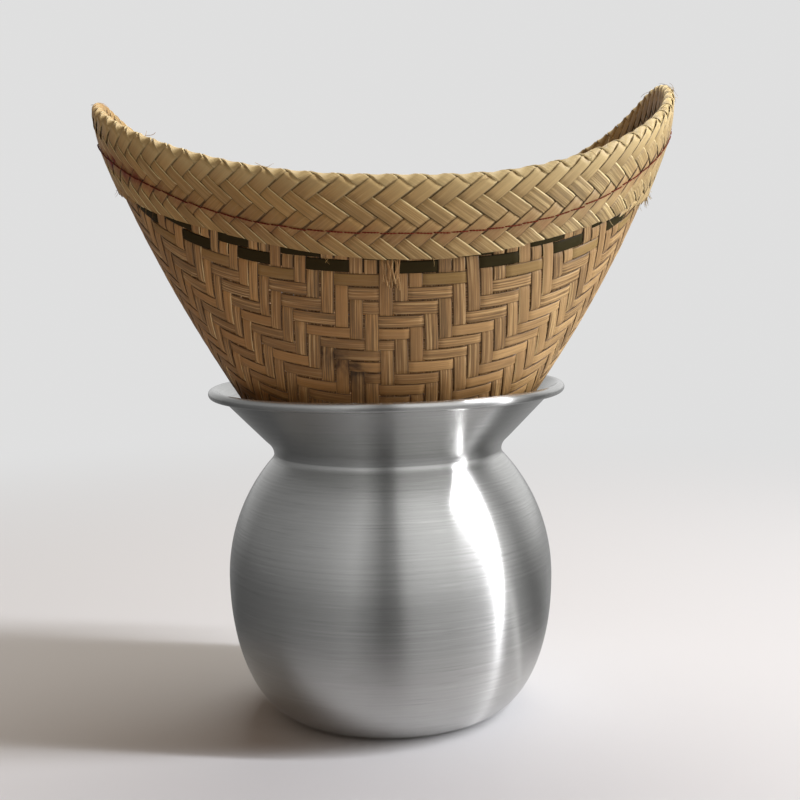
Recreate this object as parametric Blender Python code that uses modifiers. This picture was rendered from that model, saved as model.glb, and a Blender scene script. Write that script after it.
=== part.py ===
"""Sticky rice steamer: a spun aluminium pot with a plaited bamboo basket standing in its neck.

Metres, +Z up. The origin is the middle of the pot's flat base, and the basket's two high tips lie
along X. An angle round the basket is 0 at the front (-Y), 90 degrees at the +X tip.
"""

import math

import bmesh
import bpy
import numpy as np

# Pot: a single spun sheet, sized from its mouth
MOUTH_DIAMETER = 0.220
POT_HEIGHT = 0.205
SHEET = 0.0012
BASE_FLAT_RADIUS = 0.058
BELLY_RADIUS = 0.101
BELLY_HEIGHT = 0.086
BELLY_SQUARENESS = 2.1
SHOULDER_ARC_RADIUS = 0.110
NECK_RADIUS = 0.0708
NECK_TOP = 0.1672
BEAD_RADIUS = 0.0029
CREASE_SOFTENING = 0.0025
NECK_SOFTENING = 0.0045
POT_STEPS = 48

# Basket wall: an oval cone, round where the neck grips it, flatter and blunter towards the rim, and
# swaying a little to +X as it rises
WALL = 0.0020
GAP = 0.00035
SEAT_HEIGHT = 0.1672
SEAT_RADIUS = NECK_RADIUS - SHEET - GAP
LOWER_SLOPE = 0.60
TIP_ROUNDING = 0.008
UPPER_SLOPE = 0.722
UPPER_CURVE = 1.0
TIP_CURVE_HEIGHT = 0.339
TIP_CURVE = 4.3
FLATTEST = 0.77
FLATTEST_HEIGHT = 0.325
BLUNTNESS = 0.065
SWAY = 0.045
SWAY_CURVE = 0.165

# Rim: a saddle, low at the front and back and high at the two tips. It tilts down a little to +X, where
# the tip is drawn up higher
RIM_FRONT = 0.3266
RIM_RISE = 0.0548
RIM_SHARPNESS = 3.0
TIP_DIFFERENCE = 0.0122
RIM_TILT = -0.0033

# Plaited band folded over the rim
BAND_BOTTOM_FRONT = 0.2826
BAND_BOTTOM_RISE = 0.0407
BAND_BOTTOM_SHARPNESS = 2.03
BAND_BOTTOM_TILT = -0.0035
BAND = 0.0022
FOLD_RADIUS = WALL / 2 + GAP + BAND

# Stitching along the band, and the dark courses of bamboo skin under it
THREAD_BELOW_RIM = 0.030
THREAD_RADIUS = 0.0005
COURSE_WIDTH = 0.0065
COURSE_THICKNESS = 0.0008
COURSE_PITCH = 0.0076
COURSE_HALF_ANGLE = 66

AROUND = 80


def bamboo(name, colour, roughness=0.6):
    return {"name": name, "colour": colour, "metallic": 0.0, "roughness": roughness}


ALUMINIUM = {"name": "spun_aluminium", "colour": (0.60, 0.60, 0.59), "metallic": 1.0, "roughness": 0.34}
WALL_BAMBOO = bamboo("wall_bamboo", (0.40, 0.24, 0.11))
BAND_BAMBOO = bamboo("band_bamboo", (0.62, 0.46, 0.25))
SKIN_BAMBOO = bamboo("bamboo_skin", (0.045, 0.042, 0.020), 0.5)
RED_THREAD = bamboo("red_thread", (0.35, 0.04, 0.02), 0.8)


def clear_scene():
    for item in list(bpy.data.objects):
        bpy.data.objects.remove(item)


def new_collection(name):
    collection = bpy.data.collections.new(name)
    bpy.context.scene.collection.children.link(collection)
    return collection


def finish_object(item, look):
    """Gives the object its own material and smooth shading with sharp edges kept."""
    material = bpy.data.materials.new(f"{item.name}_{look['name']}")
    material.use_nodes = True
    shader = material.node_tree.nodes["Principled BSDF"]
    shader.inputs["Base Color"].default_value = (*look["colour"], 1.0)
    shader.inputs["Metallic"].default_value = look["metallic"]
    shader.inputs["Roughness"].default_value = look["roughness"]
    item.data.materials.append(material)
    if item.type == "MESH":
        item.data.shade_smooth()
        item.data.set_sharp_from_angle(angle=math.radians(40))


def add_object(name, data, collection, look, carrier=None):
    item = bpy.data.objects.new(name, data)
    collection.objects.link(item)
    if carrier:
        item.parent = carrier
        item.location = -carrier.location
    finish_object(item, look)
    return item


# Pot


def softened(before, corner, after, cut, steps=3):
    """The corner replaced by a quadratic curve that starts and ends `cut` away from it."""
    corner = np.array(corner)
    start = corner + cut * unit(np.array(before) - corner)
    end = corner + cut * unit(np.array(after) - corner)
    at = np.linspace(0, 1, steps + 1)[:, None]
    return (1 - at) ** 2 * start + 2 * at * (1 - at) * corner + at**2 * end


def unit(vector):
    return vector / np.linalg.norm(vector)


def pot_outer_line():
    """(radius, height) points down the outside, from under the bead to the edge of the flat base."""
    arc_centre = BELLY_RADIUS - SHOULDER_ARC_RADIUS
    crease_height = BELLY_HEIGHT + math.sqrt(SHOULDER_ARC_RADIUS**2 - (NECK_RADIUS - arc_centre) ** 2)
    crease = (NECK_RADIUS, crease_height)
    neck = (NECK_RADIUS, NECK_TOP)
    mouth = flare_end()
    points = [mouth]
    points.extend(softened(mouth, neck, crease, NECK_SOFTENING))
    crease_angle = math.asin((crease_height - BELLY_HEIGHT) / SHOULDER_ARC_RADIUS)
    shoulder_angles = np.linspace(crease_angle, 0, 7)
    shoulder = [
        (
            arc_centre + SHOULDER_ARC_RADIUS * math.cos(angle),
            BELLY_HEIGHT + SHOULDER_ARC_RADIUS * math.sin(angle),
        )
        for angle in shoulder_angles
    ]
    points.extend(softened(neck, crease, shoulder[1], CREASE_SOFTENING, 2))
    points.extend(shoulder[1:])
    power = 2 / BELLY_SQUARENESS
    for angle in np.linspace(0, math.pi / 2, 10)[1:]:
        reach = math.cos(angle) ** power
        drop = math.sin(angle) ** power
        points.append((BASE_FLAT_RADIUS + (BELLY_RADIUS - BASE_FLAT_RADIUS) * reach, BELLY_HEIGHT * (1 - drop)))
    return np.array(points)


def flare_direction():
    """Unit vector up the straight flare, from the neck towards the bead."""
    bead = np.array((MOUTH_DIAMETER / 2 - BEAD_RADIUS, POT_HEIGHT - BEAD_RADIUS))
    return unit(bead - np.array((NECK_RADIUS, NECK_TOP)))


def flare_end():
    """Where the outside of the flare runs into the rolled bead."""
    along = flare_direction()
    outward = np.array((along[1], -along[0]))
    bead = np.array((MOUTH_DIAMETER / 2 - BEAD_RADIUS, POT_HEIGHT - BEAD_RADIUS))
    depth = BEAD_RADIUS - SHEET
    return bead - outward * depth - along * math.sqrt(BEAD_RADIUS**2 - depth**2)


def bead_arc(steps=9):
    """Round the rolled bead, from the inside of the flare over the top to its outside."""
    along = flare_direction()
    outward = np.array((along[1], -along[0]))
    bead = np.array((MOUTH_DIAMETER / 2 - BEAD_RADIUS, POT_HEIGHT - BEAD_RADIUS))
    last = 2 * math.pi - math.acos((BEAD_RADIUS - SHEET) / BEAD_RADIUS)
    angles = np.linspace(0, last, steps + 1)[:-1]
    return [bead + BEAD_RADIUS * (along * math.sin(a) - outward * math.cos(a)) for a in angles]


def inside_of(line):
    """The line moved one sheet thickness towards the inside of the pot."""
    ahead = np.diff(line, axis=0)
    ahead = ahead / np.linalg.norm(ahead, axis=1)[:, None]
    tangent = np.vstack([ahead[:1], ahead[:-1] + ahead[1:], (ahead[-1] + (-1, 0))[None]])
    tangent = tangent / np.linalg.norm(tangent, axis=1)[:, None]
    return line + SHEET * np.column_stack([tangent[:, 1], -tangent[:, 0]])


def make_pot(collection):
    outer = pot_outer_line()
    inner = inside_of(outer)[::-1]
    profile = [(0.0, SHEET), *inner[:-1], *bead_arc(), *outer, (0.0, 0.0)]
    mesh = bpy.data.meshes.new("pot_body")
    edges = [(index, index + 1) for index in range(len(profile) - 1)]
    mesh.from_pydata([(radius, 0.0, height) for radius, height in profile], edges, [])
    pot = bpy.data.objects.new("pot_body", mesh)
    collection.objects.link(pot)
    spin = pot.modifiers.new("spin", "SCREW")
    spin.steps = POT_STEPS
    spin.render_steps = POT_STEPS
    spin.use_merge_vertices = True
    spin.merge_threshold = 0.00001
    finish_object(pot, ALUMINIUM)
    return pot


# Basket shape


def saddle(angle, low, rise, sharpness, tilt):
    return low + rise * np.abs(np.sin(angle)) ** sharpness + tilt * np.sin(angle)


def rim_height(angle):
    rim = saddle(angle, RIM_FRONT, RIM_RISE, RIM_SHARPNESS, RIM_TILT)
    return rim + TIP_DIFFERENCE / 2 * np.sin(angle) ** 5


def band_bottom(angle):
    return saddle(angle, BAND_BOTTOM_FRONT, BAND_BOTTOM_RISE, BAND_BOTTOM_SHARPNESS, BAND_BOTTOM_TILT)


def wide_radius(height):
    """Half the basket's outer width along X at this height."""
    above = np.maximum(height - SEAT_HEIGHT, 0)
    below = np.minimum(height - SEAT_HEIGHT, 0)
    near_tip = np.maximum(height - TIP_CURVE_HEIGHT, 0)
    cone = SEAT_RADIUS + LOWER_SLOPE * below + UPPER_SLOPE * above - UPPER_CURVE * above**2
    return cone - TIP_CURVE * near_tip**2


def ovalness(height):
    """0 at the round neck, 1 towards the rim, where the plan is a blunt oval."""
    return np.clip((height - SEAT_HEIGHT) / (FLATTEST_HEIGHT - SEAT_HEIGHT), 0, 1)


def on_wall(angle, height):
    above = np.maximum(height - SEAT_HEIGHT, 0)
    oval = ovalness(height)
    wide = wide_radius(height) * (1 + BLUNTNESS * oval * np.sin(2 * angle) ** 2)
    x = wide * np.sin(angle) + SWAY * above - SWAY_CURVE * above**2
    y = -wide * (1 - (1 - FLATTEST) * oval) * np.cos(angle)
    return np.stack(np.broadcast_arrays(x, y, height + 0 * angle), axis=-1)


def wall_frame(angle, height, step=1e-4):
    """The outward normal and the upward slope of the wall's outside there."""
    turn = on_wall(angle + step, height) - on_wall(angle - step, height)
    climb = on_wall(angle, height + step) - on_wall(angle, height - step)
    normal = np.cross(turn, climb)
    normal = normal / np.linalg.norm(normal, axis=-1)[..., None]
    return normal, climb / np.linalg.norm(climb, axis=-1)[..., None]


def sheet_object(name, rows, thickness, collection, look, carrier, pole=None, closed=True):
    """A skin through rows of points that climb the outside. It thickens outwards, or inwards if negative."""
    shape = bmesh.new()
    made = [[shape.verts.new(point) for point in row] for row in rows]
    count = len(rows[0])
    sides = count if closed else count - 1
    for low, high in zip(made, made[1:]):
        for index in range(sides):
            after = (index + 1) % count
            shape.faces.new((low[index], low[after], high[after], high[index]))
    if pole is not None:
        bottom = shape.verts.new(pole)
        for index in range(sides):
            shape.faces.new((bottom, made[0][(index + 1) % count], made[0][index]))
    mesh = bpy.data.meshes.new(name)
    shape.to_mesh(mesh)
    shape.free()
    item = add_object(name, mesh, collection, look, carrier)
    solid = item.modifiers.new("thickness", "SOLIDIFY")
    solid.thickness = abs(thickness)
    solid.offset = math.copysign(1, thickness)
    solid.use_even_offset = True
    return item


def angles_round():
    return np.linspace(0, 2 * math.pi, AROUND, endpoint=False)


def make_wall(collection, carrier):
    angle = angles_round()
    half_angle = math.atan(LOWER_SLOPE)
    apex = SEAT_HEIGHT - SEAT_RADIUS / LOWER_SLOPE
    ball_height = apex + TIP_ROUNDING / math.sin(half_angle)
    rows = []
    for share in (0.4, 0.75, 1.0):
        lean = share * (math.pi / 2 - half_angle)
        ring = TIP_ROUNDING * math.sin(lean)
        height = ball_height - TIP_ROUNDING * math.cos(lean)
        rows.append(np.stack([ring * np.sin(angle), -ring * np.cos(angle), 0 * angle + height], axis=-1))
    for height in np.linspace(rows[-1][0, 2], SEAT_HEIGHT, 4)[1:]:
        rows.append(on_wall(angle, height))
    hidden_from = band_bottom(angle)
    for share in np.linspace(0, 1, 6)[1:-1]:
        rows.append(on_wall(angle, SEAT_HEIGHT + share * (hidden_from - SEAT_HEIGHT)))
    for height in leg_heights(angle, hidden_from):
        rows.append(on_wall(angle, height))
    pole = (0, 0, ball_height - TIP_ROUNDING)
    return sheet_object("basket_wall", rows, -WALL, collection, WALL_BAMBOO, carrier, pole)


def leg_heights(angle, bottom):
    """Heights up one leg of the band, from its bottom edge to the wall's own top edge."""
    fold = rim_height(angle) - FOLD_RADIUS
    return [bottom + share * (fold - bottom) for share in np.linspace(0, 1, 5)]


def make_band(collection, carrier):
    """The band as a fold: up the outside of the wall, over its edge and down the inside."""
    angle = angles_round()
    rows = []
    for height in leg_heights(angle, band_bottom(angle))[:-1]:
        normal, _ = wall_frame(angle, height)
        rows.append(on_wall(angle, height) + GAP * normal)
    fold = rim_height(angle) - FOLD_RADIUS
    normal, climb = wall_frame(angle, fold)
    middle = on_wall(angle, fold) - WALL / 2 * normal
    radius = WALL / 2 + GAP
    for turn in np.linspace(0, math.pi, 5):
        rows.append(middle + radius * (math.cos(turn) * normal + math.sin(turn) * climb))
    for height in leg_heights(angle, band_bottom(angle))[-2::-1]:
        normal, _ = wall_frame(angle, height)
        rows.append(on_wall(angle, height) - (WALL + GAP) * normal)
    return sheet_object("rim_band", rows, BAND, collection, BAND_BAMBOO, carrier)


def make_course(name, middle_angle, below_band, collection, carrier):
    """One dark course of the weave, lying on the outside of the wall under the band."""
    half = math.radians(COURSE_HALF_ANGLE)
    angle = np.linspace(middle_angle - half, middle_angle + half, 33)
    rows = []
    for drop in (below_band + COURSE_WIDTH, below_band):
        height = band_bottom(angle) - drop
        normal, _ = wall_frame(angle, height)
        rows.append(on_wall(angle, height) + GAP * normal)
    return sheet_object(name, rows, COURSE_THICKNESS, collection, SKIN_BAMBOO, carrier, closed=False)


def make_thread(name, off_wall, collection, carrier):
    """One side of the stitching: a line of thread round the band, standing off the wall's outside."""
    angle = angles_round()
    height = rim_height(angle) - THREAD_BELOW_RIM
    normal, _ = wall_frame(angle, height)
    path = on_wall(angle, height) + off_wall * normal
    curve = bpy.data.curves.new(name, "CURVE")
    curve.dimensions = "3D"
    curve.bevel_depth = THREAD_RADIUS
    curve.bevel_resolution = 1
    line = curve.splines.new("POLY")
    line.points.add(len(path) - 1)
    for point, place in zip(line.points, path):
        point.co = (*place, 1.0)
    line.use_cyclic_u = True
    return add_object(name, curve, collection, RED_THREAD, carrier)


def main():
    clear_scene()
    parts = new_collection("sticky_rice_steamer")
    make_pot(parts)
    lift = bpy.data.objects.new("basket_lift_axis", None)
    lift.location = (0.0, 0.0, SEAT_HEIGHT)
    parts.objects.link(lift)
    make_wall(parts, lift)
    make_band(parts, lift)
    for side, middle_angle in (("front", 0.0), ("back", math.pi)):
        for level, place in enumerate(("upper", "lower")):
            below_band = 0.0006 + level * COURSE_PITCH
            make_course(f"dark_course_{side}_{place}", middle_angle, below_band, parts, lift)
    outside = GAP + BAND + GAP + THREAD_RADIUS
    make_thread("stitch_thread_outer", outside, parts, lift)
    make_thread("stitch_thread_inner", -WALL - outside, parts, lift)


main()
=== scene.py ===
"""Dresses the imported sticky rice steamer: a woven bamboo basket standing in a spun aluminium pot.

Run it as a script in Blender. Metres, +Z up, the front is -Y. An angle round the basket is 0 at the front
and 90 degrees at the +X tip, as in the part's own source, and the basket's surface follows its formulas.
"""

import math

import bmesh
import bpy
import numpy as np
from mathutils import Matrix, Vector


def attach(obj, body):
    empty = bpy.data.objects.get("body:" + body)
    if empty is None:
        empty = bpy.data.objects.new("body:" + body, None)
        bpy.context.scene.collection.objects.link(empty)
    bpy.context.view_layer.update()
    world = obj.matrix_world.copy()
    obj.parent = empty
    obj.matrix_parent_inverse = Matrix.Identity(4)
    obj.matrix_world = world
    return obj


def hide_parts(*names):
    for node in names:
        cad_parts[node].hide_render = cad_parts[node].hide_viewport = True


bl_info = {
    "name": "Sticky rice steamer",
    "version": (1, 0, 0),
    "blender": (4, 5, 0),
    "location": "3D View > Sidebar > Steamer",
    "description": "Spins the pot, weaves the basket, plaits and stitches its border, and sets the studio",
    "category": "Add Mesh",
}

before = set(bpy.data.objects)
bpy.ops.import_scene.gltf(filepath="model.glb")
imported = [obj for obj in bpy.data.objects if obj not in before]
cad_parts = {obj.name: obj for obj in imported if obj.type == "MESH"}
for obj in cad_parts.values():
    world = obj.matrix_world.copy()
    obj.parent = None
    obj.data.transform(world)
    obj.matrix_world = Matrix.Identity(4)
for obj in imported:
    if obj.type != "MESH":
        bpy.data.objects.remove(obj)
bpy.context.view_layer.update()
MM = 0.001

# Pot, a spun sheet, as in the part
MOUTH_DIAMETER = 0.220
POT_HEIGHT = 0.205
SHEET = 0.0012
BASE_FLAT_RADIUS = 0.058
BELLY_RADIUS = 0.101
BELLY_HEIGHT = 0.086
BELLY_SQUARENESS = 2.1
SHOULDER_ARC_RADIUS = 0.110
NECK_RADIUS = 0.0708
NECK_TOP = 0.1672
BEAD_RADIUS = 0.0029
CREASE_SOFTENING = 0.0025
NECK_SOFTENING = 0.0045
POT_STEPS = 288

# Basket wall, as in the part
WALL = 0.0020
GAP = 0.00035
SEAT_HEIGHT = 0.1672
SEAT_RADIUS = NECK_RADIUS - SHEET - GAP
LOWER_SLOPE = 0.60
TIP_ROUNDING = 0.008
UPPER_SLOPE = 0.722
UPPER_CURVE = 1.0
TIP_CURVE_HEIGHT = 0.339
TIP_CURVE = 4.3
FLATTEST = 0.77
FLATTEST_HEIGHT = 0.325
BLUNTNESS = 0.065
SWAY = 0.045
SWAY_CURVE = 0.165
RIM_FRONT = 0.3266
RIM_RISE = 0.0548
RIM_SHARPNESS = 3.0
TIP_DIFFERENCE = 0.0122
RIM_TILT = -0.0033

# Border and its stitching, as in the part
BAND_BOTTOM_FRONT = 0.2826
BAND_BOTTOM_RISE = 0.0407
BAND_BOTTOM_SHARPNESS = 2.03
BAND_BOTTOM_TILT = -0.0035
BAND = 0.0022
FOLD_RADIUS = WALL / 2 + GAP + BAND

# The flat mat that the wall is: rows run along its long side, stakes across it, and its front axis
# lies a little to the left of the basket's middle
FRONT_AXIS = math.radians(-3.4)
ROWS = 37
ROW_PITCH = 0.262 / (ROWS - 0.5)
STAKES = 41
STAKE_PITCH = 0.00795
ROWS_ABOVE = 5
DARK_ROWS = 2
OLIVE_ROWS = 1
DARK_STAKES = (34, 35)
MAT_REACH = 0.420
SEAM_BLEND, SEAM_CLEAR = 0.10, 0.0002
# Strips are split by hand: rows 3 to 5 are broad and rows 6 to 8 narrow
BROAD_ROW, BROAD_BY = 4.0, 0.12
NARROW_ROW, NARROW_BY = 7.0, 0.10
# Stakes crowd towards the sides: how many pitches are lost in the end, and by which stake most of them are
AXIS_SHIFT = -0.14
LOST_RIGHT, KNEE_RIGHT = 3.1, 24.0
LOST_LEFT, KNEE_LEFT = 2.9, 13.5

# The mat was rolled a little askew: rows climb to the left, and stakes lean
ROW_SKEW = 0.038
STAKE_LEAN = 0.015
LEAN_REACH = 0.255

# Grey marks of damp on the mat, each with its strength
DAMP_MARKS = ((-0.0265, 0.2035, 1.0), (-0.0115, 0.1935, 1.0), (-0.0190, 0.1985, 0.8))
DAMP_SPREAD = 0.0065

# A stake was spliced here: the end of its upper strip lies over the next, split into fibres
SPLICE_FROM, SPLICE_TO = -0.0003, 0.0108
SPLICE_TOP, SPLICE_END = 0.2605, 0.2450
SPLICE_FIBRES, SPLICE_FIBRE, SPLICE_LIFT, SPLICE_STEP = 14, 0.00085, 0.00115, 0.0012

# How strips pass over and under one another, and how close their sections may be
STRIP_SHARE = 0.915
STRIP_THICKNESS = 0.00080
STRIP_LIFT = 0.00055
TURN_SHARE = 0.34
SECTIONS_APART = 0.0003
# How far a strip may run each way, in which steps, and how far it stops short of the wall's top edge
LONGEST_RUN = 0.36
RUN_STEP = 0.0005
EDGE_SHORT = 0.0015

# The plait of the border, on an even grid: how far apart its strips are and half a row of the twill
PLAIT_SPACING = 0.0125
PLAIT_CELL = 0.0052
PLAIT_THICKNESS = 0.00055
PLAIT_LIFT = 0.00066
PLAIT_SHARE = 0.955
TRIM_BLEND = 0.014
# It reaches this many cells and this far down each side, with closer sections over the ridge
PLAIT_CELLS, PLAIT_REACH = 18, 0.094
RIDGE_FROM, RIDGE_TO, RIDGE_STEP, RIDGE_APART = -0.0064, 0.0041, 0.0008, 0.00028
# As laid: strips stand widest apart at the front, from FRONT_FROM on and fading over FRONT_FADE, and behind
PLAIT_CLOSE = 0.0111
PLAIT_WIDER, FRONT_FROM, FRONT_SOFT, FRONT_FADE_FROM, FRONT_FADE = 0.0034, -0.055, 0.007, 0.020, 0.100
BACK_WIDER, BACK_FADE = 0.0032, 0.080
# A corner of the twill lies here, and the first row of corners sits lower in front
PLAIT_CORNER = 0.0020
FIRST_ROW, FIRST_LOWER, FIRST_PLACE, FIRST_FADE = 0.0010, 0.0019, 0.008, 0.038
LOW_CELLS, LOW_PLACE, LOW_FADE = 0.09, -0.095, 0.045
# The whole plait leans away from the front on both sides
PLAIT_LEAN, LEAN_PLACE = 0.30, 0.035

# The thread: its way round the border, its stitches and its two plies
THREAD_DEPTH = 0.0312
THREAD_RISE = 0.0070
THREAD_LIFT = 0.00132
THREAD_DIVE = 0.00045
STITCH = 0.0094
STITCH_STEPS = 26
PLY_LAY = 0.0034
PLY_OFFSET = 0.00020
PLY_RADIUS = 0.00023
PLY_SIDES = 5
DYE_SPREAD = 0.0042
DYE_PLACE = -0.168
# Where the ridge is torn: place round the rim and spread
TORN_SPOTS = ((0.0765, 0.0040), (0.0885, 0.0030))
# Where light is painted on the ridge, which is made paler, counted from its top down the outside
LIT_RIDGE_PLACE, LIT_RIDGE_SPREAD = 0.0015, 0.0068
# Strips pull apart outside the left tip, where the strips below are painted darker as shade: how much
# narrower they get there, where and how far
GAPE, GAPE_SPREAD, GAPE_DEPTH = 0.74, 0.047, 0.0092
GAPE_ROLL = 0.36
# How far down the inside its painted shade starts, and how fast it comes
INSIDE_FROM, INSIDE_SOFT = 0.008, 0.006
# Loose fibres: how many round the border, how thick, and how far they stand out
LOOSE_FIBRES = 150
FIBRE = 0.00022
FIBRE_REACH = 0.0055

METAL_ROUGHNESS = 0.235

# Brightness that the metal sees round it, by the angle from the front towards the right: a dim room on the
# left, a pale wall on the right with a tall window in it, and the studio's background behind
ROOM_LIGHT = (
    (-180, 0.70), (-154, 0.48), (-125, 0.24), (-92, 0.30), (-73, 0.37), (-55, 0.44),
    (-39, 0.56), (-28, 0.66), (-17, 0.46), (-7, 0.26), (1, 0.34), (9, 0.78),
    (20, 0.94), (35, 1.00), (48, 0.98), (60, 0.78), (70, 0.76), (74, 1.20),
    (76, 2.40), (79, 2.40), (81, 1.10), (84, 0.85), (93, 0.62), (102, 0.36),
    (110, 0.40), (120, 0.62), (132, 0.86), (151, 0.88), (180, 0.70),
)
FLOOR_LIGHT = 0.40

# The stage: how far out the floor passes into the background, to the camera and to the metal
FLOOR_RADIUS = 9.0
CAMERA_FADE = (0.15, 1.3)
METAL_FADE = (0.07, 0.24)
KEY_PLACE, KEY_SIZE = (2.27, -0.575, 1.45), (0.13, 2.88)
TOP_PLACE, TOP_SIZE = (0.15, 0.75, 2.1), (1.4, 1.4)
LAMP_TARGET = (0, 0, 0.2)

# The photograph's viewpoint, fitted to the rim, the mouth and the base. A turn of 0 looks along +Y
CAMERA_DISTANCE = 0.800
CAMERA_SIDE = 0.0083
CAMERA_HEIGHT = 0.2843
CAMERA_TURN = math.radians(3.0)
CAMERA_PITCH = math.radians(6.42)
CAMERA_ROLL = math.radians(1.29)
CAMERA_LENS = 58.1


def seeded(seed):
    return np.random.default_rng(seed)


# Colours and materials


def linear(text):
    """An sRGB hex colour as linear red, green, blue."""
    values = [int(text[place : place + 2], 16) / 255 for place in (1, 3, 5)]
    return tuple(v / 12.92 if v <= 0.04045 else ((v + 0.055) / 1.055) ** 2.4 for v in values)


def shade(colour, light=1.0, warmth=0.0):
    """A linear colour made lighter or darker, and warmer or cooler, with an alpha of 1."""
    red, green, blue = colour
    return (red * light * (1 + warmth), green * light, blue * light * (1 - warmth), 1.0)


def grey(light):
    return (light, light, light, 1.0)


def set_sockets(tree, node, sockets):
    """Gives a node's inputs, by name or number, a value or a link each."""
    for name, value in sockets.items():
        if isinstance(value, bpy.types.NodeSocket):
            tree.links.new(value, node.inputs[name])
        else:
            node.inputs[name].default_value = value


def add_node(tree, kind, sockets=(), output=0, **settings):
    """Adds a node and gives one of its outputs. sockets are its first inputs in order, or a dict of them, and
    settings are its own properties."""
    made = tree.nodes.new("ShaderNode" + kind)
    for name, value in settings.items():
        setattr(made, name, value)
    set_sockets(tree, made, sockets if isinstance(sockets, dict) else dict(enumerate(sockets)))
    return made.outputs[output]


def set_ramp(output, *stops):
    """Gives a colour ramp its stops, each a place from 0 to 1 and a colour."""
    elements = output.node.color_ramp.elements
    while len(elements) > 1:
        elements.remove(elements[-1])
    elements[0].position, elements[0].color = stops[0]
    for place, colour in stops[1:]:
        elements.new(place).color = colour
    return output


def new_material(name):
    material = bpy.data.materials.new(name)
    material.use_nodes = True
    tree = material.node_tree
    return material, tree, tree.nodes["Principled BSDF"]


def grain_noise(tree, along, across, detail=3.0, roughness=0.55):
    """Streaks that follow a strip: so many changes per mm along and across, unlike from strip to strip."""
    place = add_node(tree, "Attribute", output="Vector", attribute_name="grain")
    scaled = add_node(tree, "VectorMath", (place, (along, across, 13.7)), operation="MULTIPLY")
    sockets = {"Vector": scaled, "Scale": 1.0, "Detail": detail, "Roughness": roughness}
    return add_node(tree, "TexNoise", sockets, "Fac")


def tinted(tree, base, tint, value, span, shares, times=None, blend="MIX"):
    """A colour with a tint laid over it. The tint's share goes from shares[0] where the value is span[0] to
    shares[1] where it is span[1], and is multiplied by times."""
    share = add_node(tree, "MapRange", (value, *span, *shares))
    if times is not None:
        share = add_node(tree, "Math", (share, times), operation="MULTIPLY")
    return add_node(tree, "Mix", {0: share, 6: base, 7: tint}, 2, data_type="RGBA", blend_type=blend)


def split_bamboo(name, colour, spread, lined_depth, stain_colour, rough=0.62, specular=0.30):
    """Bamboo split by hand and left bare: a matt strip whose fibres show as long fine streaks, darker in the
    grooves. Its edges are painted dark as shade and dirt in the gaps between strips, and some are pale: fresh
    cuts on the wall, and a painted highlight along the lit upper edge of the border's strips."""
    material, tree, shader = new_material(name)
    tone_and_painted_light, lined, edge, stain_and_painted_light = (
        add_node(tree, "Attribute", output="Fac", attribute_name=key)
        for key in ("tone_and_painted_light", "lined", "edge", "stain_and_painted_light")
    )
    base = set_ramp(
        add_node(tree, "ValToRGB", (tone_and_painted_light,)),
        (0.0, shade(colour, 1 - spread, 0.06)),
        (0.35, shade(colour, 1 - spread / 4, 0.02)),
        (0.60, shade(colour, 1 + spread / 3)),
        (0.80, shade(colour, 1 + spread, -0.03)),
        # The row next to the dark courses still has some green skin
        (1.00, (colour[0] * 0.60, colour[1] * 0.66, colour[2] * 0.42, 1.0)),
    )
    # Slow change of colour along each strip, about every 60 mm, and over the whole basket
    slow = grain_noise(tree, 0.016, 0.10, 2.0)
    base = tinted(tree, base, shade(colour, 0.74, 0.10), slow, (0.35, 0.70), (0.0, 0.45))
    place = add_node(tree, "TexCoord", output="Object")
    patch = add_node(tree, "TexNoise", {"Vector": place, "Scale": 16.0, "Detail": 2.0}, "Fac")
    base = tinted(tree, base, shade(colour, 0.70, 0.16), patch, (0.45, 0.72), (0.0, 0.5))
    # Painted shade: the basket's left side, away from the lamps, is made darker and browner
    across = add_node(tree, "SeparateXYZ", (place,))
    base = tinted(tree, base, (0.88, 0.66, 0.42, 1.0), across, (0.10, -0.05), (0.0, 1.0), blend="MULTIPLY")
    # Bundles of fibres: streaks 0.6 to 1 mm wide and tens of mm long, dark in their grooves
    bundle = grain_noise(tree, 0.022, 1.15, 3.0, 0.6)
    base = tinted(tree, base, shade(colour, 0.30, 0.12), bundle, (0.53, 0.42), (0.0, lined_depth), lined)
    base = tinted(tree, base, shade(colour, 1.62, -0.08), bundle, (0.54, 0.64), (0.0, 0.8), lined)
    # Fine fibres, drawn at 0.3 mm so that they still show
    fine = grain_noise(tree, 0.06, 3.4, 2.0, 0.7)
    base = tinted(tree, base, shade(colour, 0.66, 0.06), fine, (0.35, 0.65), (0.45, 0.0))
    # Edges: the attribute is 1 along a pale edge and -1 along a dark one. Dark edges are painted shade with
    # dirt in the gaps between strips; pale edges are fresh cuts on the wall and a painted highlight on the
    # border's lit edges
    patchy = add_node(tree, "MapRange", (grain_noise(tree, 0.05, 0.0, 2.0), 0.38, 0.52, 0.2, 1.0))
    base = tinted(tree, base, shade(colour, 1.75, -0.12), edge, (0.3, 0.9), (0.0, 1.0), patchy)
    base = tinted(tree, base, shade(colour, 0.14, 0.15), edge, (-0.20, -0.80), (0.0, 0.88))
    # Dye bled from the thread or marks of damp where the attribute is above 0, and painted light, paler
    # bamboo along the ridge, where it is below
    blotch = grain_noise(tree, 0.12, 0.22, 3.0)
    dye = shade(linear(stain_colour))
    base = tinted(tree, base, dye, blotch, (0.36, 0.62), (0.25, 1.0), stain_and_painted_light, blend="MULTIPLY")
    base = tinted(tree, base, shade(colour, 1.32, -0.05), stain_and_painted_light, (0.0, -1.0), (0.0, 0.75))

    height = add_node(tree, "Math", (fine, 0.35, bundle), operation="MULTIPLY_ADD")
    sockets = {
        "Base Color": base,
        "Roughness": add_node(tree, "MapRange", (fine, 0.3, 0.7, rough - 0.08, rough + 0.08)),
        "Specular IOR Level": specular,
        "Normal": add_node(tree, "Bump", {"Strength": 0.5, "Distance": 0.25 * MM, "Height": height}),
    }
    set_sockets(tree, shader, sockets)
    return material


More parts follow.
